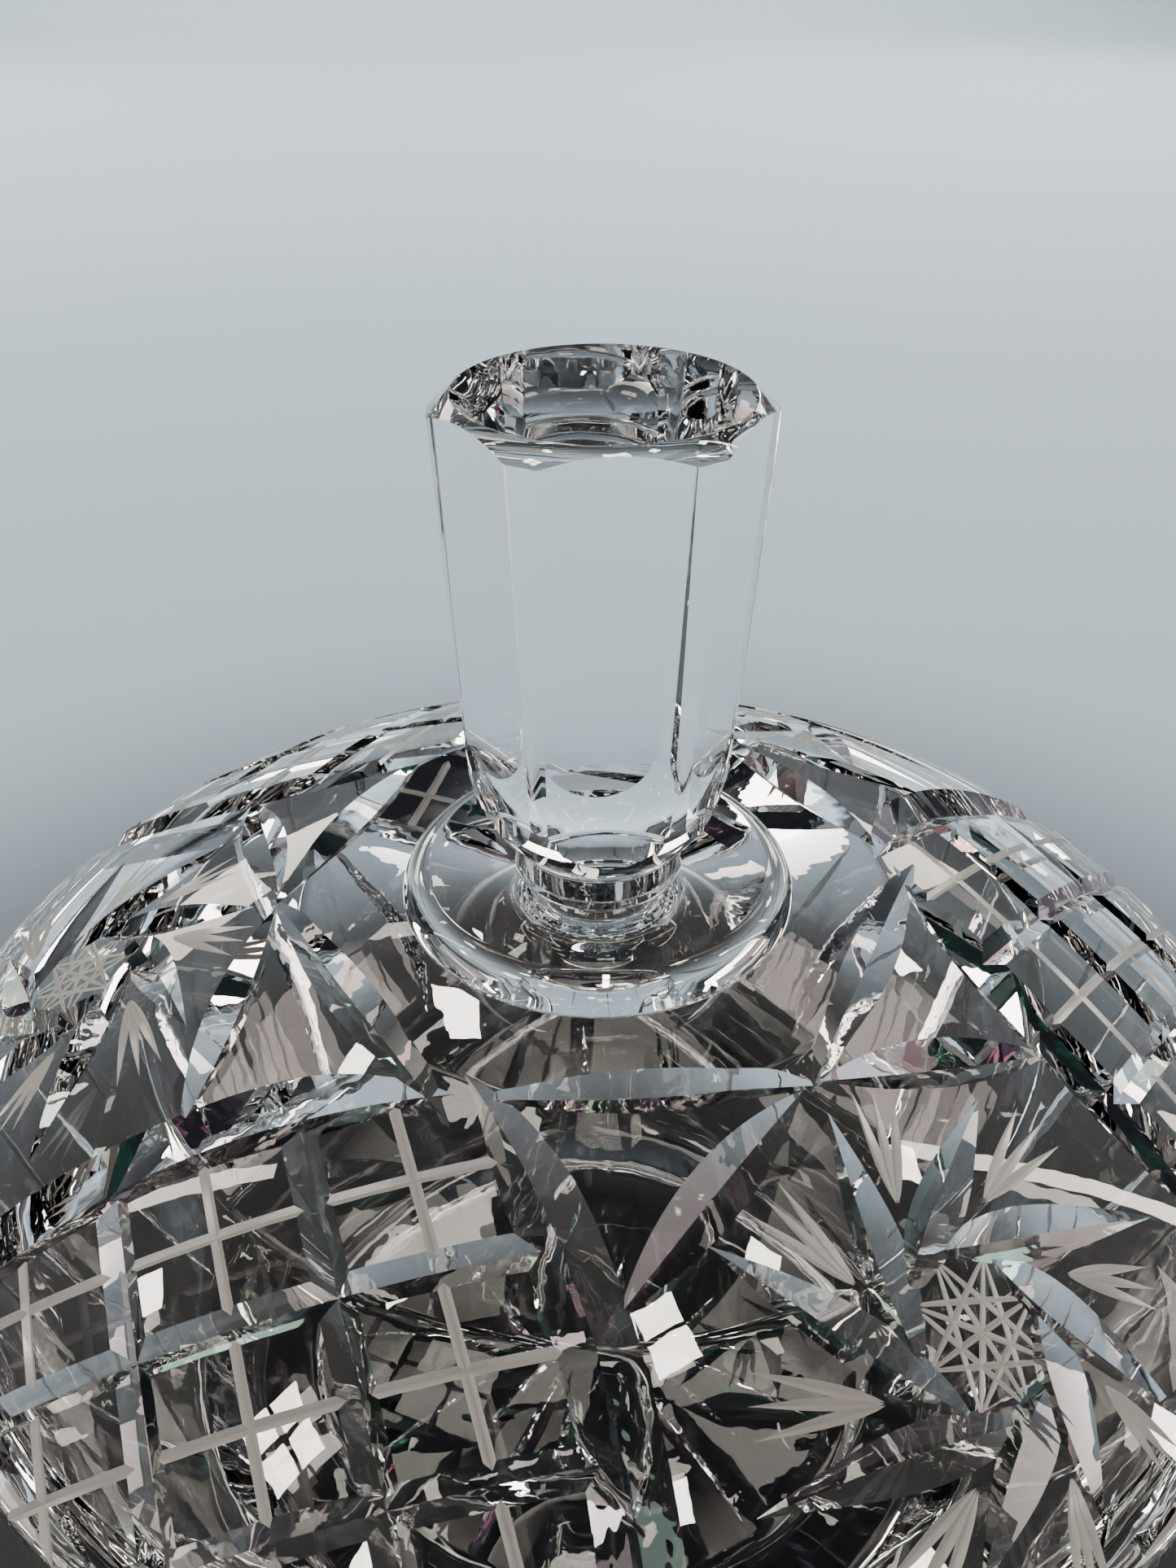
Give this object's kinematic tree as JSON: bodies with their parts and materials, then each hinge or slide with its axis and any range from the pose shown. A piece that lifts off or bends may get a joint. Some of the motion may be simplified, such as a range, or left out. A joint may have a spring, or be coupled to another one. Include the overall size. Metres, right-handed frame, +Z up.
{
  "type": "decanter",
  "caption": "Low, broad cut crystal decanter with a domed shoulder, a round lip and a faceted stopper that lifts out of a tapered bore.",
  "frame": {"origin": "centre of the foot, on the surface that the decanter stands on", "axes": "+Z up along the axis of the body and the stopper, -Y is the front"},
  "size_m": [0.158, 0.158, 0.1465],
  "materials": {
    "crystal_body": "clear lead crystal, polished, with deep polished mitre cuts and fine grey matte cuts",
    "crystal_stopper": "clear lead crystal, polished flat facets and a polished shank"
  },
  "bodies": {
    "body": {"decanter": "crystal_body"},
    "stopper": {"stopper": "crystal_stopper"}
  },
  "joints": [
    {"name": "stopper_lift", "type": "slide", "parent": "body", "child": "stopper", "axis": [0, 0, 1], "range_m": [0, 0.03]}
  ]
}
